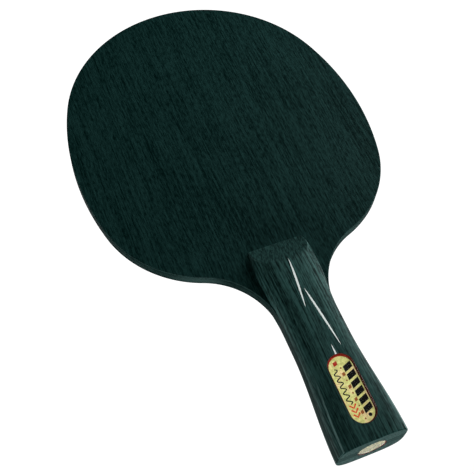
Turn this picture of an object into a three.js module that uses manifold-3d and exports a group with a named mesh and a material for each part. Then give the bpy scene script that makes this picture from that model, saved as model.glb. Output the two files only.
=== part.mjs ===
// A bare table tennis blade with a flared handle: five wooden plies that run from the head's tip down
// through the handle, a wooden handle scale glued over each side of that tang, three silver inlays and
// an oblong badge in the front scale, and a round disc in the butt.
//
// Millimetres. Every piece is drawn lying flat, in the drawing frame: x to the right, y from the butt
// to the tip, and z out of the front face. The last group stands the whole blade up, so that +Z runs
// from the butt to the tip, the front looks along -Y, and the origin is the middle of the butt end.
import * as THREE from "three";
import { mergeVertices } from "three/addons/utils/BufferGeometryUtils.js";
import Module from "manifold-3d";

const wasm = await Module();
wasm.setup();

// ---------------------------------------------------------------- driving dimensions (mm, degrees)

// The head, from its tip down the right side: tip arc, side arc, cheek arc, then a hollow neck arc that
// runs into the handle. The tip arc's radius follows from the head's width, the neck's from the handle.
const LENGTH = 258;
const HEAD_WIDTH = 150;
const TIP_SWEEP = 70;
const SIDE_RADIUS = 130;
const SIDE_SWEEP = 34.5;
const CHEEK_RADIUS = 54.5;
const CHEEK_SWEEP = 55;
const ARC_STEP = 4; // degrees of arc for each straight edge

// The plies. The glue line is the space left between two neighbours.
const BLADE_THICKNESS = 5.7;
const OUTER_PLY = 0.6;
const INNER_PLY = 1.0;
const GLUE_LINE = 0.05;

// The handle: a waist that flares to the butt and, less, to the neck, where it narrows again.
const WAIST_HALF_WIDTH = 13;
const BUTT_FLARE = 2.8;
const BUTT_FLARE_LENGTH = 50;
const NECK_FLARE = 2;
const NECK_FLARE_FROM = 60;
const NECK_FLARE_TO = 87;
const FOOT_TAPER = 1.6;
const HANDLE_LENGTH = 101.5;
const HANDLE_HALF_THICKNESS = 11.4;
const BUTT_THICKENING = 0.4;
// The section is a squared ellipse: a power of 2 is an ellipse, and higher is squarer.
const WAIST_POWER = 3;
const BUTT_POWER = 3.5;
const SECTION_POINTS = 48;
const HANDLE_STATIONS = 26;

// Each scale's upper end slopes down to the blade.
const BEVEL_ANGLE = 32;
const FOOT_LIP = 0.3;

// The badge: a printed label at the floor of a pocket, under a clear lens.
const BADGE_WIDTH = 11.7;
const BADGE_LENGTH = 31.4;
const BADGE_MIDDLE = 23.1;
const BADGE_FLOOR = 10.3;
const BADGE_TOP = 11.9;
const LENS_ROUNDING = 0.5;
const LABEL_THICKNESS = 0.2;

// The disc in the butt: a printed disc and a clear lens in a round pocket.
const DISC_RADIUS = 6.4;
const DISC_POCKET_DEPTH = 1.2;
const DISC_RECESS = 0.1;

// The inlays: tapering slivers let into the front scale. "from" and "to" are their sharp ends, "belly"
// is how far along they are widest, and "bow" is how far they bend to the right near their upper end.
const INLAY_DEPTH = 0.6;
const INLAY_FULLNESS = 0.6; // lower is blunter at both ends
const INLAYS = [
  { name: "upper_inlay", from: [0.1, 88.2], to: [-2.6, 63.5], width: 0.9, belly: 0.6, bow: 0.3 },
  { name: "middle_inlay", from: [0.6, 72.1], to: [4.2, 42.3], width: 0.9, belly: 0.55, bow: 0.1 },
  { name: "lower_inlay", from: [0.3, 43.8], to: [0.2, 32], width: 0.75, belly: 0.6, bow: 0 },
];

const CLEARANCE = 0.15; // between a let-in piece and the walls of its pocket
const BEYOND = 20; // how far a cutting solid reaches past what it cuts

// ---------------------------------------------------------------- solids and meshes

const radians = THREE.MathUtils.degToRad;

// A closed geometry as a solid that can be cut and joined.
function solidOf(geometry) {
  const bare = geometry.clone();
  bare.deleteAttribute("normal");
  bare.deleteAttribute("uv");
  const merged = mergeVertices(bare);
  const mesh = new wasm.Mesh({
    numProp: 3,
    vertProperties: merged.attributes.position.array,
    triVerts: new Uint32Array(merged.index.array),
  });
  return new wasm.Manifold(mesh);
}

function geometryOf(solid) {
  const mesh = solid.getMesh();
  const geometry = new THREE.BufferGeometry();
  geometry.setAttribute("position", new THREE.BufferAttribute(mesh.vertProperties, 3));
  geometry.setIndex(new THREE.BufferAttribute(mesh.triVerts, 1));
  geometry.computeVertexNormals();
  return geometry;
}

// A flat shape as a solid from one height to another.
function prism(shape, bottom, top) {
  const geometry = new THREE.ExtrudeGeometry(shape, { depth: top - bottom, bevelEnabled: false });
  return solidOf(geometry.translate(0, 0, bottom));
}

function box(low, high) {
  const size = high.map((value, axis) => value - low[axis]);
  const middle = high.map((value, axis) => (value + low[axis]) / 2);
  return solidOf(new THREE.BoxGeometry(...size).translate(...middle));
}

function piece(name, solid, colour, roughness, metalness = 0) {
  const material = new THREE.MeshStandardMaterial({ color: colour, roughness, metalness });
  const mesh = new THREE.Mesh(geometryOf(solid), material);
  mesh.name = name;
  return mesh;
}

// ---------------------------------------------------------------- the handle's widths

// Rises smoothly from 0 to 1 as height goes from low to high.
function smooth(low, high, height) {
  const share = THREE.MathUtils.clamp((height - low) / (high - low), 0, 1);
  return (1 - Math.cos(Math.PI * share)) / 2;
}

// 1 at the butt, falling to 0 where the flare ends.
function buttShare(height) {
  return 1 - smooth(0, BUTT_FLARE_LENGTH, height);
}

function tangHalfWidth(height) {
  return WAIST_HALF_WIDTH + BUTT_FLARE * buttShare(height);
}

function scaleHalfWidth(height) {
  const flare = NECK_FLARE * smooth(NECK_FLARE_FROM, NECK_FLARE_TO, height);
  const past = Math.max(0, (height - NECK_FLARE_TO) / (HANDLE_LENGTH - NECK_FLARE_TO));
  return tangHalfWidth(height) + flare - FOOT_TAPER * past * past;
}

function scaleHalfThickness(height) {
  return HANDLE_HALF_THICKNESS + BUTT_THICKENING * buttShare(height);
}

// ---------------------------------------------------------------- the blade's outline

// Points along an arc that starts at a point, heading so many radians clockwise from +x, and turns
// clockwise (turn +1) or anticlockwise (turn -1) through a sweep.
function arcPoints(start, heading, radius, sweep, turn) {
  const steps = Math.max(1, Math.round(THREE.MathUtils.radToDeg(sweep) / ARC_STEP));
  const points = [];
  for (let step = 1; step <= steps; step++) {
    const angle = heading + (turn * sweep * step) / steps;
    const x = start.x + turn * radius * (Math.sin(angle) - Math.sin(heading));
    const y = start.y + turn * radius * (Math.cos(angle) - Math.cos(heading));
    points.push(new THREE.Vector2(x, y));
  }
  return points;
}

function rightHalfOutline() {
  const tipSweep = radians(TIP_SWEEP);
  const sideSweep = radians(SIDE_SWEEP);
  const cheekSweep = radians(CHEEK_SWEEP);
  const overSide = SIDE_RADIUS * (1 - Math.sin(tipSweep));
  const tipRadius = (HEAD_WIDTH / 2 - overSide) / Math.sin(tipSweep);
  const points = [new THREE.Vector2(0, LENGTH)];
  let heading = 0;
  for (const [radius, sweep] of [
    [tipRadius, tipSweep],
    [SIDE_RADIUS, sideSweep],
    [CHEEK_RADIUS, cheekSweep],
  ]) {
    points.push(...arcPoints(points.at(-1), heading, radius, sweep, 1));
    heading += sweep;
  }
  const toWaist = points.at(-1).x - WAIST_HALF_WIDTH;
  const neckRadius = toWaist / (1 - Math.sin(heading));
  points.push(...arcPoints(points.at(-1), heading, neckRadius, heading - Math.PI / 2, -1));
  const tangSteps = 12;
  for (let step = tangSteps; step >= 0; step--) {
    const height = (BUTT_FLARE_LENGTH * step) / tangSteps;
    points.push(new THREE.Vector2(tangHalfWidth(height), height));
  }
  return points;
}

function bladeShape() {
  const right = rightHalfOutline();
  const left = right.slice(1).map((point) => new THREE.Vector2(-point.x, point.y));
  return new THREE.Shape([...right, ...left.reverse()]);
}

// ---------------------------------------------------------------- the handle

// One coordinate of a squared ellipse, from the same coordinate of a circle of radius 1.
function squared(value, power) {
  return Math.sign(value) * Math.abs(value) ** (2 / power);
}

// Both scales in one: a round bar of radius 1 along y, whose points are moved out to the handle's
// section at their height.
function handleBody() {
  const rod = new THREE.CylinderGeometry(1, 1, HANDLE_LENGTH, SECTION_POINTS, HANDLE_STATIONS);
  rod.translate(0, HANDLE_LENGTH / 2, 0);
  const position = rod.attributes.position;
  for (let index = 0; index < position.count; index++) {
    const height = position.getY(index);
    const power = WAIST_POWER + (BUTT_POWER - WAIST_POWER) * buttShare(height);
    const x = squared(position.getX(index), power) * scaleHalfWidth(height);
    const z = squared(position.getZ(index), power) * scaleHalfThickness(height);
    position.setXYZ(index, x, height, z);
  }
  return solidOf(rod);
}

// What lies above the sloping upper end of the front scale.
function bevelCutter() {
  const angle = radians(BEVEL_ANGLE);
  const reach = 3 * BEYOND;
  const cutter = new THREE.BoxGeometry(reach, reach, BEYOND);
  cutter.translate(0, 0, BEYOND / 2);
  cutter.rotateX(-angle);
  cutter.translate(0, HANDLE_LENGTH, BLADE_THICKNESS / 2 + GLUE_LINE + FOOT_LIP);
  return solidOf(cutter);
}

function frontScaleBlank(body) {
  const bottom = BLADE_THICKNESS / 2 + GLUE_LINE;
  const above = box([-BEYOND, -BEYOND, bottom], [BEYOND, HANDLE_LENGTH + BEYOND, BEYOND]);
  return body.intersect(above).subtract(bevelCutter());
}

// ---------------------------------------------------------------- what is let into the handle

// A sliver with two sharp ends along a gentle curve. Margin grows it on every side, for the groove
// that it lies in.
function sliverShape({ from, to, width, belly, bow }, margin) {
  const start = new THREE.Vector2(...from);
  const end = new THREE.Vector2(...to);
  const along = end.clone().sub(start).normalize();
  const right = new THREE.Vector2(-along.y, along.x);
  const stretch = 3 * margin;
  start.addScaledVector(along, -stretch);
  end.addScaledVector(along, stretch);
  const bend = start.clone().lerp(end, 0.25).addScaledVector(right, 2 * bow);
  const line = new THREE.QuadraticBezierCurve(start, bend, end);
  const towardsBelly = Math.log(0.5) / Math.log(belly);
  const sidePoint = (share, side) => {
    const swell = Math.sin(Math.PI * share ** towardsBelly) ** INLAY_FULLNESS;
    const offset = side * (width / 2 + margin) * swell;
    return line.getPoint(share).addScaledVector(right, offset);
  };
  const steps = 16;
  const points = [start];
  for (let step = 1; step < steps; step++) points.push(sidePoint(step / steps, 1));
  points.push(end);
  for (let step = steps - 1; step > 0; step--) points.push(sidePoint(step / steps, -1));
  return new THREE.Shape(points);
}

// An oblong with round ends, grown by margin on every side.
function badgeShape(margin) {
  const radius = BADGE_WIDTH / 2 + margin;
  const reach = (BADGE_LENGTH - BADGE_WIDTH) / 2;
  const shape = new THREE.Shape();
  shape.absarc(0, BADGE_MIDDLE + reach, radius, 0, Math.PI);
  shape.absarc(0, BADGE_MIDDLE - reach, radius, Math.PI, 2 * Math.PI);
  shape.closePath();
  return shape;
}

function badgeLens(bottom) {
  const geometry = new THREE.ExtrudeGeometry(badgeShape(-LENS_ROUNDING), {
    depth: BADGE_TOP - LENS_ROUNDING - bottom,
    bevelThickness: LENS_ROUNDING,
    bevelSize: LENS_ROUNDING,
    bevelSegments: 3,
  });
  const rounded = solidOf(geometry.translate(0, 0, bottom));
  const below = box([-BEYOND, -BEYOND, 0], [BEYOND, HANDLE_LENGTH, bottom]);
  return rounded.subtract(below);
}

// A round solid on the handle's axis, from one height above the butt to another.
function buttDisc(radius, low, high) {
  const geometry = new THREE.CylinderGeometry(radius, radius, high - low, 40);
  return solidOf(geometry.translate(0, (low + high) / 2, 0));
}

// ---------------------------------------------------------------- assembly

const STAINED_FACE = 0x0d2321;
const STAINED_HANDLE = 0x192d2b;
const STAINED_INNER = 0x33443f;
const STAINED_CORE = 0x40514b;
const SILVER = 0xdfe2df;
const LABEL = 0xcdcd82;
const DISC = 0xa7a894;
const CLEAR = 0xf2f4ee;

const PLIES = [
  { name: "back_outer_ply", thickness: OUTER_PLY, colour: STAINED_FACE },
  { name: "back_inner_ply", thickness: INNER_PLY, colour: STAINED_INNER },
  {
    name: "core_ply",
    thickness: BLADE_THICKNESS - 2 * (OUTER_PLY + INNER_PLY) - 4 * GLUE_LINE,
    colour: STAINED_CORE,
  },
  { name: "front_inner_ply", thickness: INNER_PLY, colour: STAINED_INNER },
  { name: "front_outer_ply", thickness: OUTER_PLY, colour: STAINED_FACE },
];

const blade = new THREE.Group();
const discPocket = buttDisc(DISC_RADIUS + CLEARANCE, -BEYOND, DISC_POCKET_DEPTH);

const outline = bladeShape();
let bottom = -BLADE_THICKNESS / 2;
for (const { name, thickness, colour } of PLIES) {
  const ply = prism(outline, bottom, bottom + thickness).subtract(discPocket);
  blade.add(piece(name, ply, colour, 0.6));
  bottom += thickness + GLUE_LINE;
}

const scaleBlank = frontScaleBlank(handleBody()).subtract(discPocket);
blade.add(piece("back_handle_scale", scaleBlank.mirror([0, 0, 1]), STAINED_HANDLE, 0.55));

let frontScale = scaleBlank.subtract(prism(badgeShape(CLEARANCE), BADGE_FLOOR, BEYOND));
const inlayFloor = HANDLE_HALF_THICKNESS - INLAY_DEPTH;
const badgeRoom = prism(badgeShape(2 * CLEARANCE), 0, BEYOND);
for (const inlay of INLAYS) {
  const groove = prism(sliverShape(inlay, CLEARANCE), inlayFloor - CLEARANCE, BEYOND);
  const strip = prism(sliverShape(inlay, 0), inlayFloor, BEYOND);
  const flush = strip.intersect(scaleBlank).subtract(badgeRoom);
  frontScale = frontScale.subtract(groove);
  blade.add(piece(inlay.name, flush, SILVER, 0.25, 0.9));
}
blade.add(piece("front_handle_scale", frontScale, STAINED_HANDLE, 0.55));

const labelBottom = BADGE_FLOOR + GLUE_LINE;
const labelTop = labelBottom + LABEL_THICKNESS;
blade.add(piece("badge_label", prism(badgeShape(0), labelBottom, labelTop), LABEL, 0.4));
blade.add(piece("badge_lens", badgeLens(labelTop + GLUE_LINE), CLEAR, 0.05));

const discTop = DISC_POCKET_DEPTH - GLUE_LINE;
const discBottom = discTop - LABEL_THICKNESS;
const buttLens = buttDisc(DISC_RADIUS, DISC_RECESS, discBottom - GLUE_LINE);
blade.add(piece("butt_disc", buttDisc(DISC_RADIUS, discBottom, discTop), DISC, 0.4));
blade.add(piece("butt_lens", buttLens, CLEAR, 0.05));

// Stand the blade up: the drawing frame's y becomes +Z, and its z becomes -Y.
blade.rotation.x = Math.PI / 2;
const paddle = new THREE.Group();
paddle.add(blade);

export default paddle;
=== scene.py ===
# A bare table tennis blade with a flared handle. This script draws the pieces of the CAD frame again,
# finely and in metres, with their stained wood, silver inlays, badge and butt disc. The blade stands
# on its butt: +Z runs to the tip, and the front looks along -Y. A point of the object is
# (x, height, out), where out is how far it stands in front of the blade's middle plane.
import math

import bmesh
import bpy
import numpy as np
from mathutils import Matrix, Vector


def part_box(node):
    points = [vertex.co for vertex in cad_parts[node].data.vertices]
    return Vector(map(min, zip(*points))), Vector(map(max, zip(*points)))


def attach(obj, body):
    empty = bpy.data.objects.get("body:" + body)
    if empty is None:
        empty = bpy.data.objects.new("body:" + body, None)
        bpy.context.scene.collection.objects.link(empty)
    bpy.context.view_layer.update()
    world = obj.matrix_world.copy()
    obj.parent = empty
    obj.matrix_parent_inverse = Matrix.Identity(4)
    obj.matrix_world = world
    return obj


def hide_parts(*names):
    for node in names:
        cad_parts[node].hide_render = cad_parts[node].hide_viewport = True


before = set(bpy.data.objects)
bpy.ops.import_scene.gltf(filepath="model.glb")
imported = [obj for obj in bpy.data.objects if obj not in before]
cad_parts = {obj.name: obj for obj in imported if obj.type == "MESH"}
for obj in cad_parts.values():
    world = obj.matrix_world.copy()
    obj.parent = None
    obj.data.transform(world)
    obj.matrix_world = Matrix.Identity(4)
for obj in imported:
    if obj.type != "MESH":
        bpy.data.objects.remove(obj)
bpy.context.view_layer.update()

MM = 0.001

# ---------------------------------------------------------------- driving dimensions

BLADE_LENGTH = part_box("core_ply")[1].z
HEAD_WIDTH = 150 * MM
TIP_SWEEP = math.radians(70)
SIDE_RADIUS = 130 * MM
SIDE_SWEEP = math.radians(34.5)
CHEEK_RADIUS = 54.5 * MM
CHEEK_SWEEP = math.radians(55)
ARC_STEP = math.radians(1)

WAIST_HALF_WIDTH = 13 * MM
BUTT_FLARE = 2.8 * MM
BUTT_FLARE_LENGTH = 50 * MM
NECK_FLARE = 2 * MM
NECK_FLARE_FROM = 60 * MM
NECK_FLARE_TO = 87 * MM
FOOT_TAPER = 1.6 * MM
HANDLE_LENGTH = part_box("front_handle_scale")[1].z
HANDLE_UNDERSIDE = -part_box("front_handle_scale")[1].y
HANDLE_HALF_THICKNESS = 11.4 * MM
BUTT_THICKENING = 0.4 * MM
WAIST_POWER = 3  # the handle's section is a superellipse of this power at the waist
BUTT_POWER = 3.5
BEVEL_ANGLE = math.radians(32)
FOOT_LIP = 0.3 * MM
SECTION_POINTS = 161
SECTION_STEPS = 2001  # finer points, from which the evenly spaced ones are taken
STATIONS = 240

# Sanded edges, which the CAD leaves sharp.
RIM_ROUNDING = 0.45 * MM
RIM_ROUNDING_FROM = 64 * MM
RIM_ROUNDING_TO = 76 * MM
PLY_ROUNDING = 0.07 * MM
BUTT_ROUNDING = 0.6 * MM
RIDGE_ROUNDING = 1.0 * MM
FOOT_EDGE_ROUNDING = 0.3 * MM
FOOT_EDGE_FROM = 0.6  # share of the half width where the ridge's rounding starts turning into that
FOOT_EDGE_TO = 0.85  # and where it has
DISC_ROUNDING = 0.05 * MM
LENS_ROUNDING = 0.3 * MM
SHARP_ANGLE = math.radians(35)  # edges that turn more than this are shaded as sharp

POCKET_CLEARANCE = 0.15 * MM
GLUE_GAP = 0.05 * MM
GROOVE_CLEARANCE = 0.03 * MM
INLAY_DEPTH = 0.6 * MM
BEYOND = 5 * MM  # how far a solid that is cut away or trimmed reaches past the object
OVER_HANDLE = HANDLE_HALF_THICKNESS + BEYOND
END_POINTS = 24
DISC_POINTS = 96
DOT_POINTS = 20

INLAY_FULLNESS = 0.6  # a power under 1 swells an inlay towards its ends
INLAY_BEND_AT = 0.25  # how far along an inlay its curve is pulled sideways
# Each inlay's sharp ends as (x, height) in mm, its width in mm, the share of its length at which it
# is widest, and its bow in mm.
INLAYS = {
    "upper_inlay": ((0.1, 88.2), (-2.6, 63.5), 0.9, 0.6, 0.3),
    "middle_inlay": ((0.6, 72.1), (4.2, 42.3), 0.9, 0.55, 0.1),
    "lower_inlay": ((0.3, 43.8), (0.2, 32), 0.75, 0.6, 0),
}

# ---------------------------------------------------------------- small tools


def point(x, height, out):
    return (x, -out, height)


def smooth(low, high, value):
    """Rises smoothly from 0 to 1 as value goes from low to high."""
    share = np.clip((value - low) / (high - low), 0, 1)
    return (1 - np.cos(math.pi * share)) / 2


def smooth_min(a, b, rounding):
    """The lower of two heights, with the edge where they meet rounded off."""
    near = np.maximum(rounding - np.abs(a - b), 0) / rounding
    return np.minimum(a, b) - near * near * rounding / 4


def make_object(name, vertices, faces, material):
    mesh = bpy.data.meshes.new(name)
    mesh.from_pydata([tuple(v) for v in vertices], [], faces)
    mesh.materials.append(material)
    work = bmesh.new()
    work.from_mesh(mesh)
    bmesh.ops.recalc_face_normals(work, faces=work.faces)
    work.to_mesh(mesh)
    work.free()
    made = bpy.data.objects.new(name, mesh)
    bpy.context.scene.collection.objects.link(made)
    return made


def loft(rings):
    """Vertices and faces of a closed solid through rings of equally many points."""
    count = len(rings[0])
    vertices = np.concatenate(rings)
    faces = [list(range(count)), list(range(len(vertices) - count, len(vertices)))]
    for start in range(0, len(vertices) - count, count):
        for index in range(count):
            low = start + index
            high = start + (index + 1) % count
            faces.append([low, high, high + count, low + count])
    return vertices, faces


def prism(outline, low, high):
    """A flat outline of (x, height) points as a solid from one distance out to another."""
    rings = [[point(x, height, out) for x, height in outline] for out in (low, high)]
    return loft([np.array(ring) for ring in rings])


def apply_modifiers(piece):
    graph = bpy.context.evaluated_depsgraph_get()
    finished = bpy.data.meshes.new_from_object(piece.evaluated_get(graph))
    piece.modifiers.clear()
    piece.data = finished
    return piece


def combine(piece, tool, operation):
    """Cuts a piece with a tool, or keeps what they share. Cut walls take the tool's material."""
    change = piece.modifiers.new("combine", "BOOLEAN")
    change.operation = operation
    change.solver = "EXACT"
    change.material_mode = "TRANSFER"
    change.object = tool
    apply_modifiers(piece)
    bpy.data.objects.remove(tool)


def shade(piece):
    """Smooth shading that keeps flat faces flat and real corners sharp."""
    mesh = piece.data
    mesh.polygons.foreach_set("use_smooth", [True] * len(mesh.polygons))
    mesh.set_sharp_from_angle(angle=SHARP_ANGLE)
    weighted = piece.modifiers.new("weighted", "WEIGHTED_NORMAL")
    weighted.keep_sharp = True
    return apply_modifiers(piece)


def finish_piece(piece, node):
    """The piece rides with the object and stands in for a CAD node, whose part is hidden."""
    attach(piece, "root")
    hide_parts(node)


# ---------------------------------------------------------------- shader tools


def add(tree, kind, inputs=None, **settings):
    node = tree.nodes.new("ShaderNode" + kind)
    for name, value in settings.items():
        setattr(node, name, value)
    for name, value in (inputs or {}).items():
        if isinstance(value, bpy.types.NodeSocket):
            tree.links.new(value, node.inputs[name])
        else:
            node.inputs[name].default_value = value
    return node


def maths(tree, operation, *values):
    return add(tree, "Math", dict(enumerate(values)), operation=operation).outputs[0]


def noise(tree, where, across, along, detail=2, roughness=0.5, deep=1):
    """Noise in cells so far across the grain and along it, and so many times as far in depth."""
    scale = (1 / across, 1 / (deep * across), 1 / along)
    cells = add(tree, "VectorMath", {0: where, 1: scale}, operation="MULTIPLY").outputs[0]
    inputs = {"Vector": cells, "Scale": 1, "Detail": detail, "Roughness": roughness}
    return add(tree, "TexNoise", inputs).outputs["Fac"]


def ramp(tree, value, low, high, start=0.0, end=1.0):
    inputs = {"Value": value, "From Min": low, "From Max": high, "To Min": start, "To Max": end}
    return add(tree, "MapRange", inputs, interpolation_type="SMOOTHSTEP").outputs[0]


def band(tree, value, middle, half_width):
    """1 at the middle value, falling to 0 at either side."""
    away = maths(tree, "ABSOLUTE", maths(tree, "SUBTRACT", value, middle))
    return ramp(tree, away, half_width, 0.3 * half_width)


def mix(tree, share, a, b):
    node = add(tree, "Mix", data_type="RGBA")
    for name, value in (("Factor_Float", share), ("A_Color", a), ("B_Color", b)):
        socket = next(s for s in node.inputs if s.identifier == name)
        if isinstance(value, bpy.types.NodeSocket):
            tree.links.new(value, socket)
        else:
            socket.default_value = (*value, 1)
    return next(s for s in node.outputs if s.identifier == "Result_Color")


def new_material(name, **inputs):
    """A material with a Principled shader, and the tree and shader to work on."""
    material = bpy.data.materials.new(name)
    material.use_nodes = True
    tree = material.node_tree
    shader = tree.nodes["Principled BSDF"]
    for key, value in inputs.items():
        shader.inputs[key.replace("_", " ")].default_value = value
    return material, tree, shader


# ---------------------------------------------------------------- wood

# Each wood where it is darkest and lightest, as linear colours.
FACE_DARK = (0, 0.0072, 0.0064)
FACE_LIGHT = (0.0088, 0.034, 0.031)
HANDLE_DARK = (0.001, 0.009, 0.0082)
HANDLE_LIGHT = (0.035, 0.1, 0.091)
INNER_DARK = (0.001, 0.008, 0.007)
INNER_LIGHT = (0.007, 0.026, 0.024)
CORE_DARK = (0.002, 0.01, 0.009)
CORE_LIGHT = (0.014, 0.035, 0.032)
BARE_WOOD_AND_HIGHLIGHT = (0.09, 0.17, 0.16)  # bare wood where the stain is sanded thin, and also the colour of the painted highlights on rounded edges
UP_FACING_SHADE = 0.95  # how much darker surfaces that face up, the end grain, are painted, as painted shade against the light from above

RING_SLANT = math.radians(25)
WAVER = 3 * MM  # how far the grain wanders sideways
RING_DEPTH = 4  # how many times as far the pattern reaches along a growth ring as across it

SHOULDER_TILT = 0.777  # sideways part of the normal where the painted highlight on the handle's shoulder is strongest
SHOULDER_BAND = 0.07
SHOULDER_FADE = (15 * MM, 38 * MM)  # the height up to which that painted highlight is full, and where it ends
BUTT_SANDED = 0.3  # how far the sawn butt has been sanded back to bare wood
BUTT_TILT = (-0.75, -0.95)  # upward part of the normal where that starts, and where it is full
FOOT_EDGE_TILT = 0.27  # upward part of the normal on the rounded side edges of the foot's bevel
FOOT_EDGE_BAND = 0.2
FOOT_EDGE_SIDE = (0.3, 0.45)  # sideways part of the normal where those edges start, and are full
# Strength of the painted highlight on the rounded side edges of the foot's bevel.
FOOT_EDGE_HIGHLIGHT = 0.4
RIM_HIGHLIGHT = 0.25  # strength of the painted highlight on the rounded rim between a face of the blade and its edge
RIM_EDGE_TILT = (0.15, 0.35)  # outward part of the normal where the rim leaves the blade's edge
RIM_FACE_TILT = (0.99, 0.93)  # the same where it meets the face


def grain(tree, where, dashes, fibres, growth):
    """How light the wood is, about 0.5, and the height of its surface."""
    fine = noise(tree, where, 0.6 * MM, 2.6 * MM, 1, deep=RING_DEPTH)
    long = noise(tree, where, 0.6 * MM, 24 * MM, 3, 0.65, deep=RING_DEPTH)
    rings = noise(tree, where, 4 * MM, 150 * MM, deep=RING_DEPTH)
    stain = noise(tree, where, 28 * MM, 40 * MM)
    hair = noise(tree, where, 0.45 * MM, 40 * MM, 1, deep=RING_DEPTH)
    tone = maths(tree, "MULTIPLY_ADD", ramp(tree, hair, 0.62, 0.78), 0.5, 0.47)
    for layer, weight in ((fine, dashes), (long, fibres), (rings, growth), (stain, 0.4)):
        change = maths(tree, "MULTIPLY", maths(tree, "SUBTRACT", layer, 0.5), weight)
        tone = maths(tree, "ADD", tone, change)
    return add(tree, "Clamp", {"Value": tone}).outputs[0], maths(tree, "ADD", fine, long)


def scale_painted_highlight(tree, place, normal):
    """Painted highlights on rounded edges: along the shoulders near the butt, and the bevel's sides.
    """
    sideways = maths(tree, "ABSOLUTE", normal.outputs["X"])
    shoulder = band(tree, sideways, SHOULDER_TILT, SHOULDER_BAND)
    height = add(tree, "SeparateXYZ", {0: place}).outputs["Z"]
    full, none = SHOULDER_FADE
    low = ramp(tree, height, none, full)
    foot_edge = band(tree, normal.outputs["Z"], FOOT_EDGE_TILT, FOOT_EDGE_BAND)
    beside = ramp(tree, sideways, *FOOT_EDGE_SIDE, 0, FOOT_EDGE_HIGHLIGHT)
    both = maths(tree, "ADD", maths(tree, "MULTIPLY", shoulder, low),
                 maths(tree, "MULTIPLY", foot_edge, beside))
    broken = ramp(tree, noise(tree, place, 0.7 * MM, 4 * MM, 2), 0.3, 0.55, 0.35, 1)
    return maths(tree, "MULTIPLY", both, broken)


def rim_painted_highlight(tree, place, normal):
    """Painted highlight on the rounded rim between a face of the blade and its edge."""
    tilt = maths(tree, "ABSOLUTE", normal.outputs["Y"])
    past_edge = ramp(tree, tilt, *RIM_EDGE_TILT)
    rim = maths(tree, "MULTIPLY", past_edge, ramp(tree, tilt, *RIM_FACE_TILT))
    uneven = ramp(tree, noise(tree, place, 6 * MM, 6 * MM), 0.3, 0.6, 0.5 * RIM_HIGHLIGHT, RIM_HIGHLIGHT)
    return maths(tree, "MULTIPLY", rim, uneven)


def place_in_block(tree, place, offset):
    """Where a point lies in the block of wood its piece was cut from, whose grain wavers."""
    inputs = {"Vector": place, "Location": offset, "Rotation": (0, 0, RING_SLANT)}
    where = add(tree, "Mapping", inputs).outputs[0]
    waver = noise(tree, where, 20 * MM, 80 * MM, 1)
    sideways = maths(tree, "MULTIPLY", maths(tree, "SUBTRACT", waver, 0.5), WAVER)
    shift = add(tree, "CombineXYZ", {"X": sideways}).outputs[0]
    return add(tree, "VectorMath", {0: where, 1: shift}, operation="ADD").outputs[0]


def wood(name, dark, light, offset, dashes=1.1, fibres=1.8, growth=0.5, gloss=0.04,
         painted_highlight=None, darker_at_butt=0):
    """Stained open-pored wood, as a solid pattern whose grain runs along Z, so that a sawn end shows
    end grain, with its growth rings standing at a slant in the thickness. Surfaces that face up are
    darker, as painted shade. The wood is darker towards the butt by the given share there, and less
    further up."""
    material, tree, shader = new_material(name, Specular_IOR_Level=gloss)
    coordinates = add(tree, "TexCoord")
    place = coordinates.outputs["Object"]
    normal = add(tree, "SeparateXYZ", {0: coordinates.outputs["Normal"]})
    where = place_in_block(tree, place, offset)
    tone, relief = grain(tree, where, dashes, fibres, growth)
    # Painted shade: surfaces that face up are darker, against the light from above.
    upward = maths(tree, "MAXIMUM", normal.outputs["Z"], 0)
    shade_from_above = maths(tree, "MULTIPLY_ADD", upward, -UP_FACING_SHADE, 1)
    height = add(tree, "SeparateXYZ", {0: place}).outputs["Z"]
    # Darker towards the butt, by the given share there.
    butt_darkening = ramp(tree, height, 0, HANDLE_LENGTH, 1 - darker_at_butt, 1)
    lightness = maths(tree, "MULTIPLY", maths(tree, "MULTIPLY", tone, shade_from_above), butt_darkening)
    colour = mix(tree, lightness, dark, light)
    sanded = ramp(tree, normal.outputs["Z"], *BUTT_TILT, 0, BUTT_SANDED)
    colour = mix(tree, sanded, colour, BARE_WOOD_AND_HIGHLIGHT)
    # Painted highlights on rounded edges, in the bare wood colour.
    if painted_highlight:
        colour = mix(tree, painted_highlight(tree, place, normal), colour, BARE_WOOD_AND_HIGHLIGHT)
    tree.links.new(colour, shader.inputs["Base Color"])
    tree.links.new(maths(tree, "MULTIPLY_ADD", tone, -0.15, 0.65), shader.inputs["Roughness"])
    inputs = {"Height": relief, "Strength": 0.3, "Distance": 0.12 * MM}
    tree.links.new(add(tree, "Bump", inputs).outputs[0], shader.inputs["Normal"])
    return material


# ---------------------------------------------------------------- print, paint and clear caps

PRINT_GLOSS = 0.1
FRESH_YELLOW = (0.7, 0.7, 0.28)
FRESH_PEACH = (0.84, 0.64, 0.37)
AGED_YELLOW = (0.5, 0.5, 0.16)
AGED_PEACH = (0.55, 0.42, 0.2)
DARK_RED = (0.07, 0.009, 0.005)
BRIGHT_RED = (0.4, 0.025, 0.01)
BRIGHT_REACH = 6 * MM  # how far down from the badge's top its border is brighter


def plain(name, colour, roughness, unevenness=0.1, size=0.4 * MM, **inputs):
    """A printed or painted finish: one colour, with fine specks darker by up to twice unevenness."""
    material, tree, shader = new_material(name, **inputs)
    where = add(tree, "TexCoord").outputs["Object"]
    specks = noise(tree, where, size, size, 3, 0.6)
    darker = tuple(channel * (1 - 2 * unevenness) for channel in colour)
    tree.links.new(mix(tree, specks, darker, colour), shader.inputs["Base Color"])
    rough = maths(tree, "MULTIPLY_ADD", specks, 0.15, roughness - 0.07)
    tree.links.new(rough, shader.inputs["Roughness"])
    return material


def ink(name, colour):
    return plain(name, colour, 0.35, Specular_IOR_Level=PRINT_GLOSS)


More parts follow.
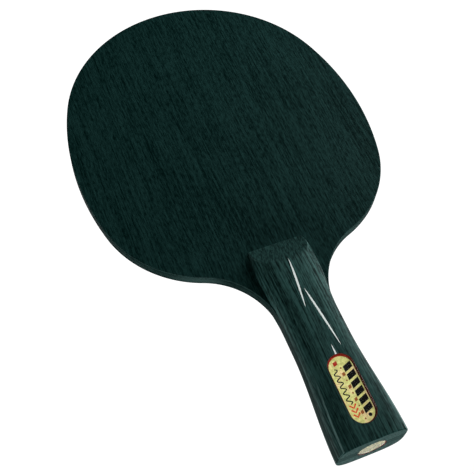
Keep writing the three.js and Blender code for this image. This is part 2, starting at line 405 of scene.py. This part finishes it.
def label_paper(name):
    """Yellow-green print ground that turns peach in patches, mottled by ageing."""
    material, tree, shader = new_material(name, Roughness=0.4, Specular_IOR_Level=PRINT_GLOSS)
    where = add(tree, "TexCoord").outputs["Object"]
    patches = ramp(tree, noise(tree, where, 5 * MM, 7 * MM, 2), 0.45, 0.7)
    mottle = ramp(tree, noise(tree, where, 1.1 * MM, 1.1 * MM, 3, 0.6), 0.35, 0.65)
    fresh = mix(tree, patches, FRESH_YELLOW, FRESH_PEACH)
    aged = mix(tree, patches, AGED_YELLOW, AGED_PEACH)
    tree.links.new(mix(tree, mottle, aged, fresh), shader.inputs["Base Color"])
    return material


def border_ink(name):
    """The badge's border, whose dark red brightens towards the top."""
    material, tree, shader = new_material(name, Roughness=0.4, Specular_IOR_Level=PRINT_GLOSS)
    where = add(tree, "TexCoord").outputs["Object"]
    height = add(tree, "SeparateXYZ", {0: where}).outputs["Z"]
    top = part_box("badge_label")[1].z
    bright = ramp(tree, height, top - BRIGHT_REACH, top)
    tree.links.new(mix(tree, bright, DARK_RED, BRIGHT_RED), shader.inputs["Base Color"])
    return material


def clear(name):
    white = (1, 1, 1, 1)
    return new_material(name, Base_Color=white, Roughness=0.05, IOR=1.47, Transmission_Weight=1)[0]


# ---------------------------------------------------------------- the blade


def butt_share(height):
    """1 at the butt, falling to 0 where the flare ends."""
    return 1 - smooth(0, BUTT_FLARE_LENGTH, height)


def tang_half_width(height):
    return WAIST_HALF_WIDTH + BUTT_FLARE * butt_share(height)


def arc(start, heading, radius, sweep, turn):
    """Points on an arc from a start heading so far clockwise from +x, turning clockwise at +1."""
    steps = max(1, round(sweep / ARC_STEP))
    angle = heading + turn * sweep * np.arange(1, steps + 1) / steps
    x = start[0] + turn * radius * (np.sin(angle) - math.sin(heading))
    height = start[1] + turn * radius * (np.cos(angle) - math.cos(heading))
    return np.stack([x, height], 1)


def right_half_outline():
    over_side = SIDE_RADIUS * (1 - math.sin(TIP_SWEEP))
    tip_radius = (HEAD_WIDTH / 2 - over_side) / math.sin(TIP_SWEEP)
    points = np.array([[0, BLADE_LENGTH]])
    heading = 0
    arcs = ((tip_radius, TIP_SWEEP), (SIDE_RADIUS, SIDE_SWEEP), (CHEEK_RADIUS, CHEEK_SWEEP))
    for radius, sweep in arcs:
        points = np.concatenate([points, arc(points[-1], heading, radius, sweep, 1)])
        heading += sweep
    neck_radius = (points[-1][0] - WAIST_HALF_WIDTH) / (1 - math.sin(heading))
    neck = arc(points[-1], heading, neck_radius, heading - math.pi / 2, -1)
    height = np.linspace(neck[-1][1], BUTT_ROUNDING, 60)[1:]
    tang = np.stack([tang_half_width(height), height], 1)
    around = np.linspace(0, math.pi / 2, 7)[1:]
    corner_x = tang[-1][0] - BUTT_ROUNDING * (1 - np.cos(around))
    corner = np.stack([corner_x, BUTT_ROUNDING * (1 - np.sin(around))], 1)
    return np.concatenate([points, neck, tang, corner])


def blade_outline():
    """The whole outline, clockwise from the tip, and the direction out of it at each point."""
    right = right_half_outline()
    left = right[:0:-1] * (-1, 1)
    outline = np.concatenate([right, left])
    along = np.roll(outline, -1, 0) - np.roll(outline, 1, 0)
    along /= np.linalg.norm(along, axis=1)[:, None]
    return outline, np.stack([-along[:, 1], along[:, 0]], 1)


def quarter_round(count=5):
    """(share inward, share short of the face) pairs of a rounded edge."""
    angle = np.linspace(0, math.pi / 2, count)
    return list(zip(1 - np.cos(angle), 1 - np.sin(angle)))


def make_ply(node, material, outline, outward, rim=0):
    """One ply. Rim is -1 or +1 where its back or front face is the blade's own, sanded round."""
    low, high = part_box(node)
    back, front = -high.y, -low.y
    shown = smooth(RIM_ROUNDING_FROM, RIM_ROUNDING_TO, outline[:, 1])
    levels = []
    for face, direction, side in ((back, 1, -1), (front, -1, 1)):
        if side == rim:
            rounding = PLY_ROUNDING + (RIM_ROUNDING - PLY_ROUNDING) * shown
        else:
            rounding = PLY_ROUNDING * np.ones(len(outline))
        edge = [(face + direction * rounding * short, rounding * inward)
                for inward, short in quarter_round()]
        levels += edge[::-1] if side == -1 else edge
    rings = []
    for out, inset in levels:
        ring = outline - outward * inset[:, None]
        rings.append(np.stack([ring[:, 0], -out, ring[:, 1]], 1))
    ply = make_object("visual_" + node, *loft(rings), material)
    combine(ply, disc_pocket(), "DIFFERENCE")
    finish_piece(shade(ply), node)


# ---------------------------------------------------------------- the handle


def scale_half_width(height):
    flare = NECK_FLARE * smooth(NECK_FLARE_FROM, NECK_FLARE_TO, height)
    past = max(0, (height - NECK_FLARE_TO) / (HANDLE_LENGTH - NECK_FLARE_TO))
    return tang_half_width(height) + flare - FOOT_TAPER * past * past


def scale_section(height, inset):
    """Evenly spaced (x, out) points over a scale, from its right foot to its left."""
    power = WAIST_POWER + (BUTT_POWER - WAIST_POWER) * butt_share(height)
    half_width = scale_half_width(height) - inset
    half_thickness = HANDLE_HALF_THICKNESS + BUTT_THICKENING * butt_share(height) - inset
    start = math.asin((HANDLE_UNDERSIDE / half_thickness) ** (power / 2))
    angle = np.linspace(start, math.pi - start, SECTION_STEPS)
    x = np.sign(np.cos(angle)) * np.abs(np.cos(angle)) ** (2 / power) * half_width
    out = np.sin(angle) ** (2 / power) * half_thickness
    length = np.concatenate([[0], np.cumsum(np.hypot(np.diff(x), np.diff(out)))])
    even = np.linspace(0, length[-1], SECTION_POINTS)
    return np.interp(even, length, x), np.interp(even, length, out)


def scale_blank(name, material, side):
    """A handle scale before anything is let into it. Side is +1 for the front and -1 for the back."""
    stations = [(BUTT_ROUNDING * inward, BUTT_ROUNDING * short)
                for inward, short in quarter_round(7)]
    heights = np.linspace(BUTT_ROUNDING, HANDLE_LENGTH, STATIONS)
    stations += [(height, 0) for height in heights[1:]]
    rings = []
    for height, inset in stations:
        x, out = scale_section(height, inset)
        slope = HANDLE_UNDERSIDE + FOOT_LIP + (HANDLE_LENGTH - height) * math.tan(BEVEL_ANGLE)
        beside = smooth(FOOT_EDGE_FROM, FOOT_EDGE_TO, np.abs(x) / scale_half_width(height))
        rounding = RIDGE_ROUNDING + (FOOT_EDGE_ROUNDING - RIDGE_ROUNDING) * beside
        out = np.maximum(smooth_min(out, slope, rounding), HANDLE_UNDERSIDE)
        out[0] = out[-1] = HANDLE_UNDERSIDE
        rings.append(np.stack([x, -side * out, np.full(len(x), height)], 1))
    return make_object(name, *loft(rings), material)


# ---------------------------------------------------------------- what is let in


def sliver(ends, width, belly, bow, margin):
    """The outline of an inlay: two sharp ends along a gentle curve, widest at the belly. A groove
    for it is larger by the margin all round, and by three margins at its sharp ends."""
    start, end = (np.array(p) * MM for p in ends)
    along = (end - start) / np.linalg.norm(end - start)
    right = np.array([-along[1], along[0]])
    start = start - along * 3 * margin
    end = end + along * 3 * margin
    # The line bows half as far as the point that pulls it, and the sine is 1 at the belly.
    pull = start + (end - start) * INLAY_BEND_AT + right * 2 * bow * MM
    share = np.linspace(0, 1, 41)[:, None]
    line = (1 - share) ** 2 * start + 2 * share * (1 - share) * pull + share**2 * end
    swell = np.sin(math.pi * share ** (math.log(0.5) / math.log(belly))) ** INLAY_FULLNESS
    offset = right * (width * MM / 2 + margin) * np.nan_to_num(swell)
    return np.concatenate([line + offset, (line - offset)[-2:0:-1]])


def oblong(box, inset):
    """An oblong with round ends that fills a box, less an inset, as (x, height) points."""
    low, high = box
    radius = (high.x - low.x) / 2 - inset
    reach = (high.z - low.z) / 2 - inset - radius
    middle = (high.z + low.z) / 2
    angle = np.linspace(0, math.pi, END_POINTS)
    top = np.stack([radius * np.cos(angle), middle + reach + radius * np.sin(angle)], 1)
    bottom = np.stack([-radius * np.cos(angle), middle - reach - radius * np.sin(angle)], 1)
    return np.concatenate([top, bottom])


def circle(x, y, radius, count):
    angle = np.linspace(0, 2 * math.pi, count, endpoint=False)
    return np.stack([x + radius * np.cos(angle), y + radius * np.sin(angle)], 1)


def disc_ring(radius, height):
    return np.column_stack([circle(0, 0, radius, DISC_POINTS), np.full(DISC_POINTS, height)])


def disc_pocket():
    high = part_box("butt_disc")[1]
    radius = high.x + POCKET_CLEARANCE
    rings = [disc_ring(radius, -BEYOND), disc_ring(radius, high.z + GLUE_GAP)]
    return make_object("disc_pocket_cutter", *loft(rings), pocket_paint)


def badge_pocket():
    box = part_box("badge_label")
    floor = -box[1].y - GLUE_GAP
    solid = prism(oblong(box, -POCKET_CLEARANCE), floor, OVER_HANDLE)
    return make_object("badge_pocket_cutter", *solid, pocket_paint)


def inlay_prism(name, node, margin, material):
    first, last, width, belly, bow = INLAYS[node]
    outline = sliver((first, last), width, belly, bow, margin)
    floor = HANDLE_HALF_THICKNESS - INLAY_DEPTH - margin
    return make_object(name, *prism(outline, floor, OVER_HANDLE), material)


def make_inlay(node):
    inlay = inlay_prism("visual_" + node, node, 0, silver)
    combine(inlay, scale_blank("blank", silver, 1), "INTERSECT")
    combine(inlay, badge_pocket(), "DIFFERENCE")
    finish_piece(shade(inlay), node)


def make_scales():
    back = scale_blank("visual_back_handle_scale", wood_back_scale, -1)
    combine(back, disc_pocket(), "DIFFERENCE")
    finish_piece(shade(back), "back_handle_scale")
    front = scale_blank("visual_front_handle_scale", wood_front_scale, 1)
    combine(front, disc_pocket(), "DIFFERENCE")
    for node in INLAYS:
        groove = inlay_prism("groove_cutter", node, GROOVE_CLEARANCE, wood_front_scale)
        combine(front, groove, "DIFFERENCE")
    combine(front, badge_pocket(), "DIFFERENCE")
    finish_piece(shade(front), "front_handle_scale")


# ---------------------------------------------------------------- badge and disc

INK = 0.01 * MM  # how far a layer of print reaches either side of its own level
OVERPRINT = 1.5 * INK  # how far print on top of other print is raised
BORDER_WIDTH = 0.6 * MM
DISC_BORDER = 0.35 * MM
DISC_SPOKES = 12
SPOKE_FROM = 1.6 * MM
SPOKE_TO = 4.8 * MM
SPOKE_WIDTH = 0.5 * MM
GROUND_SHIFT = np.array((-0.2, -0.25)) * MM  # the print sits a little off the middle

# The badge's pattern. Heights are from the badge's middle, and a column goes down from its first
# shape at its pitch.
BAR_COUNT = 6
BAR_X = 2.6 * MM
BAR_SIZE = (4 * MM, 2.7 * MM)
BAR_SLANT = 1.5 * MM
FIRST_BAR = 9.3 * MM
BAR_PITCH = 3.8 * MM
DOT_X = 2.2 * MM
DOT_HEIGHT = -12.7 * MM
DOT_RADIUS = 0.8 * MM
RED_MARK_X = -1.9 * MM
RED_MARK_HEIGHT = 12.1 * MM
RED_MARK_SIZE = (1.9 * MM, 1.7 * MM)
RED_MARK_SLANT = 0.5 * MM
MARK_COUNT = 9
MARK_X = -0.4 * MM
MARK_SIZE = (1.3 * MM, 1.5 * MM)
MARK_SLANT = 0.4 * MM
MARK_DOT_RADIUS = 0.4 * MM
FIRST_MARK = 9.6 * MM
MARK_PITCH = 2.9 * MM
WAVE_X = -3.3 * MM
WAVE_TOP = 9.8 * MM
WAVE_LENGTH = 16 * MM
WAVE_SWING = 1 * MM
WAVE_TURNS = 5.5
WAVE_LINE = 0.5 * MM
CHEVRON_COUNT = 3
CHEVRON = np.array([(-4.3, 1.1), (-2.9, -0.4), (-1.4, 1.1)]) * MM
CHEVRON_LINE = 0.75 * MM
FIRST_CHEVRON = -7.6 * MM
CHEVRON_PITCH = 2 * MM


def slanted(x, height, width, length, slant):
    """A parallelogram centred at a point, whose right side stands slant higher than its left."""
    corners = ((-1, -1), (1, -1), (1, 1), (-1, 1))
    return np.array([(x + i * width / 2, height + j * length / 2 + i * slant / 2)
                     for i, j in corners])


def ribbon(points, width):
    """A line of even width through points."""
    along = np.gradient(points, axis=0)
    along /= np.linalg.norm(along, axis=1)[:, None]
    side = np.stack([-along[:, 1], along[:, 0]], 1) * width / 2
    return np.concatenate([points + side, (points - side)[::-1]])


def bars(middle):
    """A column of slanted bars, and a dot under it."""
    prints = []
    for index in range(BAR_COUNT):
        height = middle + FIRST_BAR - BAR_PITCH * index
        prints.append((slanted(BAR_X, height, *BAR_SIZE, BAR_SLANT), ink_black))
    dot = circle(DOT_X, middle + DOT_HEIGHT, DOT_RADIUS, DOT_POINTS)
    prints.append((dot, ink_black))
    return prints


def marks(middle):
    """A red mark, and a column of amber marks with dots between them."""
    red = slanted(RED_MARK_X, middle + RED_MARK_HEIGHT, *RED_MARK_SIZE, RED_MARK_SLANT)
    prints = [(red, ink_red)]
    for index in range(MARK_COUNT):
        height = middle + FIRST_MARK - MARK_PITCH * index
        if index % 2:
            shape = slanted(MARK_X, height, *MARK_SIZE, MARK_SLANT)
        else:
            shape = circle(MARK_X, height, MARK_DOT_RADIUS, DOT_POINTS)
        prints.append((shape, ink_amber))
    return prints


def wave(middle):
    """A wavy line down the badge."""
    share = np.linspace(0, 1, 90)
    x = WAVE_X + WAVE_SWING * np.sin(share * WAVE_TURNS * 2 * math.pi)
    height = middle + WAVE_TOP - WAVE_LENGTH * share
    return [(ribbon(np.stack([x, height], 1), WAVE_LINE), ink_black)]


def chevrons(middle):
    """Chevrons under the wavy line."""
    prints = []
    for index in range(CHEVRON_COUNT):
        height = middle + FIRST_CHEVRON - CHEVRON_PITCH * index
        prints.append((ribbon(CHEVRON + (0, height), CHEVRON_LINE), ink_orange))
    return prints


def add_solid(piece, solid, material):
    """Adds a closed solid in another material to a piece's mesh."""
    if material.name not in piece.data.materials:
        piece.data.materials.append(material)
    work = bmesh.new()
    work.from_mesh(piece.data)
    vertices, faces = solid
    corners = [work.verts.new(v) for v in vertices]
    for face in faces:
        shape = work.faces.new([corners[i] for i in face])
        shape.material_index = piece.data.materials.find(material.name)
    bmesh.ops.recalc_face_normals(work, faces=work.faces)
    work.to_mesh(piece.data)
    work.free()


def add_prints(label, prints, out):
    """Adds flat shapes of ink to a label, as layers of print."""
    for outline, material in prints:
        add_solid(label, prism(outline, out - INK, out + INK), material)


def make_badge():
    """The badge's label: a border, a ground on it, and the pattern on that."""
    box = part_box("badge_label")
    low, high = box
    front = -low.y
    middle = (low.z + high.z) / 2
    label = make_object("visual_badge_label", *prism(oblong(box, 0), -high.y, front), ink_border)
    ground = oblong(box, BORDER_WIDTH) + GROUND_SHIFT
    add_prints(label, [(ground, label_ground)], front)
    pattern = bars(middle) + marks(middle) + wave(middle) + chevrons(middle)
    add_prints(label, pattern, front + OVERPRINT)
    finish_piece(label, "badge_label")


def make_badge_lens():
    """The clear cap that fills the badge's pocket, flush with the scale's crowned front."""
    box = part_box("badge_lens")
    solid = prism(oblong(box, 0), -box[1].y, OVER_HANDLE)
    lens = make_object("visual_badge_lens", *solid, clear_badge)
    combine(lens, scale_blank("blank", clear_badge, 1), "INTERSECT")
    lens.visible_shadow = False
    finish_piece(shade(lens), "badge_lens")


def spoke(index):
    """One spoke of the disc's pattern, as (x, y) points."""
    angle = 2 * math.pi * index / DISC_SPOKES
    along = np.array((math.cos(angle), math.sin(angle)))
    across = np.array((-along[1], along[0])) * SPOKE_WIDTH / 2
    inner, outer = along * SPOKE_FROM, along * SPOKE_TO
    return np.array([inner - across, outer - across, outer + across, inner + across])


def print_under(outline, height):
    """A flat shape of (x, y) points as a layer of print that faces down."""
    rings = [np.column_stack([outline, np.full(len(outline), height + step)])
             for step in (INK, -INK)]
    return loft(rings)


def make_disc():
    """The disc, its printed ground inside a ring, and a pattern of spokes on that."""
    low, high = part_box("butt_disc")
    radius = high.x
    rings = [disc_ring(radius, high.z), disc_ring(radius, low.z + DISC_ROUNDING),
             disc_ring(radius - DISC_ROUNDING, low.z)]
    disc = make_object("visual_butt_disc", *loft(rings), disc_border)
    ground = circle(0, 0, radius - DISC_BORDER, DISC_POINTS)
    add_solid(disc, print_under(ground, low.z), disc_face)
    for index in range(DISC_SPOKES):
        add_solid(disc, print_under(spoke(index), low.z - OVERPRINT), ink_olive)
    finish_piece(shade(disc), "butt_disc")


def make_disc_lens():
    """The clear cap over the disc, with a rounded lower edge."""
    low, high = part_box("butt_lens")
    rings = [disc_ring(high.x, high.z)]
    rings += [disc_ring(high.x - LENS_ROUNDING * inward, low.z + LENS_ROUNDING * short)
              for inward, short in quarter_round(7)]
    lens = make_object("visual_butt_lens", *loft(rings), clear_disc)
    lens.visible_shadow = False
    finish_piece(shade(lens), "butt_lens")


# ---------------------------------------------------------------- materials

face_look = {"dashes": 1.8, "fibres": 2.3, "gloss": 0.018, "painted_highlight": rim_painted_highlight}
wood_face_front = wood("front_veneer", FACE_DARK, FACE_LIGHT, (0.3, 0.1, 0.2), **face_look)
wood_face_back = wood("back_veneer", FACE_DARK, FACE_LIGHT, (0.7, 0.5, 0.9), **face_look)
wood_inner = wood("inner_ply_wood", INNER_DARK, INNER_LIGHT, (1.3, 0.2, 0.4), gloss=0.01)
wood_core = wood("core_wood", CORE_DARK, CORE_LIGHT, (2.1, 0.6, 0.5), gloss=0.01)
scale_look = {"dashes": 1.2, "fibres": 3, "growth": 0.3, "painted_highlight": scale_painted_highlight, "darker_at_butt": 0.38}
wood_front_scale = wood("front_scale_wood", HANDLE_DARK, HANDLE_LIGHT, (3.2, 0.4, 0.1), **scale_look)
wood_back_scale = wood("back_scale_wood", HANDLE_DARK, HANDLE_LIGHT, (4.4, 0.8, 0.3), **scale_look)
silver = plain("silver_strip", (0.9, 1, 0.97), 0.3, unevenness=0.01, size=0.6 * MM)
pocket_paint = plain("pocket_paint", (0.2, 0.014, 0.008), 0.4)
label_ground = label_paper("label_ground")
ink_border = border_ink("label_border_ink")
ink_black = ink("black_ink", (0.003, 0.003, 0.003))
ink_red = ink("red_ink", (0.4, 0.025, 0.012))
ink_amber = ink("amber_ink", (0.3, 0.09, 0.02))
ink_olive = ink("olive_ink", (0.25, 0.26, 0.1))
ink_orange = ink("orange_ink", (0.7, 0.08, 0.02))
disc_look = {"unevenness": 0.25, "size": 0.3 * MM, "Specular_IOR_Level": PRINT_GLOSS}
disc_face = plain("disc_face", (0.58, 0.56, 0.28), 0.35, **disc_look)
disc_border = plain("disc_border_ink", (0.09, 0.012, 0.006), 0.4, Specular_IOR_Level=PRINT_GLOSS)
clear_badge = clear("clear_badge_lens")
clear_disc = clear("clear_disc_lens")

# ---------------------------------------------------------------- assembly

outline, outward = blade_outline()
make_ply("back_outer_ply", wood_face_back, outline, outward, -1)
make_ply("back_inner_ply", wood_inner, outline, outward)
make_ply("core_ply", wood_core, outline, outward)
make_ply("front_inner_ply", wood_inner, outline, outward)
make_ply("front_outer_ply", wood_face_front, outline, outward, 1)
make_scales()
for node in INLAYS:
    make_inlay(node)
make_badge()
make_badge_lens()
make_disc()
make_disc_lens()

# ---------------------------------------------------------------- stage, light and camera

TARGET = Vector((-14.12, 0, 112.63)) * MM
AZIMUTH = math.radians(-15.22)
ELEVATION = math.radians(-27.57)
ROLL = math.radians(-24.995)
DISTANCE = 387.7 * MM
LENS = 62.91
SENSOR = 36
BACKDROP = Vector((0.35, 1, 0)).normalized()  # the way to the middle of the bright backdrop
BACKDROP_LIGHT = 1.15
ROOM_LIGHT = 0.02
LIGHT_BELOW = 0.33  # the share of that light that is left below the floor
FLOOR_REACH = 1.2
FLOOR_FADE = (0.35, 1.1)
FLOOR_GREY = (0.3, 0.3, 0.3, 1)
FLOOR_GLOW = (0.6, 0.6, 0.59, 1)  # keeps the floor pale and even under so few lights


def add_camera():
    data = bpy.data.cameras.new("camera")
    data.sensor_width = SENSOR
    data.lens = LENS
    data.clip_start = 0.01
    camera = bpy.data.objects.new("camera", data)
    bpy.context.scene.collection.objects.link(camera)
    level = math.cos(ELEVATION)
    back = Vector((math.sin(AZIMUTH) * level, -math.cos(AZIMUTH) * level, math.sin(ELEVATION)))
    facing = (-back).to_track_quat("-Z", "Y").to_matrix().to_4x4()
    camera.matrix_world = (
        Matrix.Translation(TARGET + back * DISTANCE) @ facing @ Matrix.Rotation(ROLL, 4, "Z")
    )
    bpy.context.scene.camera = camera


def add_floor():
    """A pale floor that shows from above only, and fades out round the object."""
    low, high = -FLOOR_REACH, FLOOR_REACH
    corners = [(low, low, 0), (high, low, 0), (high, high, 0), (low, high, 0)]
    look = {"Base_Color": FLOOR_GREY, "Emission_Color": FLOOR_GLOW, "Emission_Strength": 1}
    material, tree, shader = new_material("floor", Roughness=0.8, **look)
    place = add(tree, "TexCoord").outputs["Object"]
    far = add(tree, "VectorMath", {0: place}, operation="LENGTH").outputs["Value"]
    fade = ramp(tree, far, *FLOOR_FADE)
    beneath = add(tree, "NewGeometry").outputs["Backfacing"]
    hidden = maths(tree, "MAXIMUM", fade, beneath)
    nothing = add(tree, "BsdfTransparent").outputs[0]
    shown = add(tree, "MixShader", {0: hidden, 1: shader.outputs[0], 2: nothing})
    tree.links.new(shown.outputs[0], tree.nodes["Material Output"].inputs["Surface"])
    floor = make_object("floor", corners, [[0, 1, 2, 3]], material)
    if floor.data.polygons[0].normal.z < 0:
        floor.data.flip_normals()
    floor.visible_diffuse = False
    floor.visible_glossy = False
    floor.visible_transmission = False
    floor.visible_shadow = False


def add_world():
    """White to the camera. To the object, a bright backdrop behind and to the right, which fades
    below the floor, and a dim room in front."""
    world = bpy.data.worlds.new("studio")
    bpy.context.scene.world = world
    world.use_nodes = True
    tree = world.node_tree
    direction = add(tree, "TexCoord").outputs["Generated"]
    inputs = {0: direction, 1: BACKDROP}
    behind = add(tree, "VectorMath", inputs, operation="DOT_PRODUCT").outputs["Value"]
    height = add(tree, "SeparateXYZ", {0: direction}).outputs["Z"]
    backdrop = ramp(tree, behind, -0.15, 0.35, ROOM_LIGHT, BACKDROP_LIGHT)
    light = maths(tree, "MULTIPLY", backdrop, ramp(tree, height, -0.2, 0.25, LIGHT_BELOW, 1))
    seen = add(tree, "LightPath").outputs["Is Camera Ray"]
    strength = maths(tree, "MAXIMUM", seen, light)
    background = tree.nodes["Background"]
    background.inputs["Color"].default_value = (1, 1, 1, 1)
    tree.links.new(strength, background.inputs["Strength"])


def add_light(name, toward, distance, size, power, sheen=False):
    """A square soft light that looks at the object's middle from the direction toward, at a
    distance in metres, with a side in metres and a power in watts. Without sheen it isn't mirrored."""
    data = bpy.data.lights.new(name, "AREA")
    data.size = size
    data.energy = power
    light = bpy.data.objects.new(name, data)
    bpy.context.scene.collection.objects.link(light)
    middle = Vector((0, 0, BLADE_LENGTH / 2))
    away = Vector(toward).normalized()
    light.location = middle + away * distance
    light.rotation_euler = away.to_track_quat("Z", "Y").to_euler()
    light.visible_camera = False
    light.visible_glossy = sheen


add_camera()
add_floor()
add_world()
add_light("key_softbox", (0.75, -0.55, 0.35), 0.45, 0.3, 1.7, sheen=True)
add_light("left_softbox", (-0.45, -0.85, 0.2), 1.0, 0.5, 1.9)
add_light("low_softbox", (0.3, -0.05, -1), 1.0, 0.6, 6)
add_light("rim_softbox", (0.88, -0.05, 0.3), 0.6, 0.6, 3.7, sheen=True)
add_light("back_left_softbox", (-0.85, 0.3, -0.35), 1.0, 0.6, 6)
bpy.context.scene.view_settings.view_transform = "Standard"
